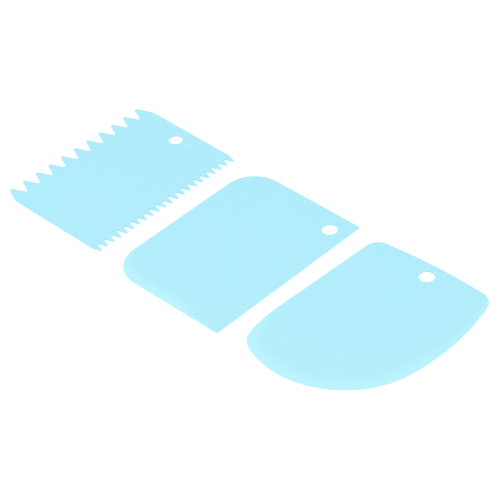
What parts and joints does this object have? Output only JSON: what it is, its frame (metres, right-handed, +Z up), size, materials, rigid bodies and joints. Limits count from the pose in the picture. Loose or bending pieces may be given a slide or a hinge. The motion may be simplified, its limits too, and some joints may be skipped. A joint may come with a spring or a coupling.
{
  "type": "icing smoother set",
  "caption": "Set of flat plastic scrapers for icing and dough: a toothed decorating comb, a straight scraper and a curved bowl scraper, each with a hanging hole.",
  "frame": {"origin": "middle of the row of scrapers, on the table that they lie on", "axes": "+X along the row from the comb scraper to the bowl scraper, +Y towards the hanging holes, +Z up from the table"},
  "size_m": [0.2978, 0.1292, 0.0008],
  "materials": {
    "polypropylene": "fine matte, as moulded"
  },
  "bodies": {
    "comb": {"comb_scraper": "polypropylene"},
    "straight": {"straight_scraper": "polypropylene"},
    "bowl": {"bowl_scraper": "polypropylene"}
  },
  "joints": [
    {"name": "straight_scraper_lift", "type": "slide", "parent": "comb", "child": "straight", "axis": [0, 0, 1], "range_m": [0, 0.08]},
    {"name": "bowl_scraper_lift", "type": "slide", "parent": "comb", "child": "bowl", "axis": [0, 0, 1], "range_m": [0, 0.08]}
  ]
}
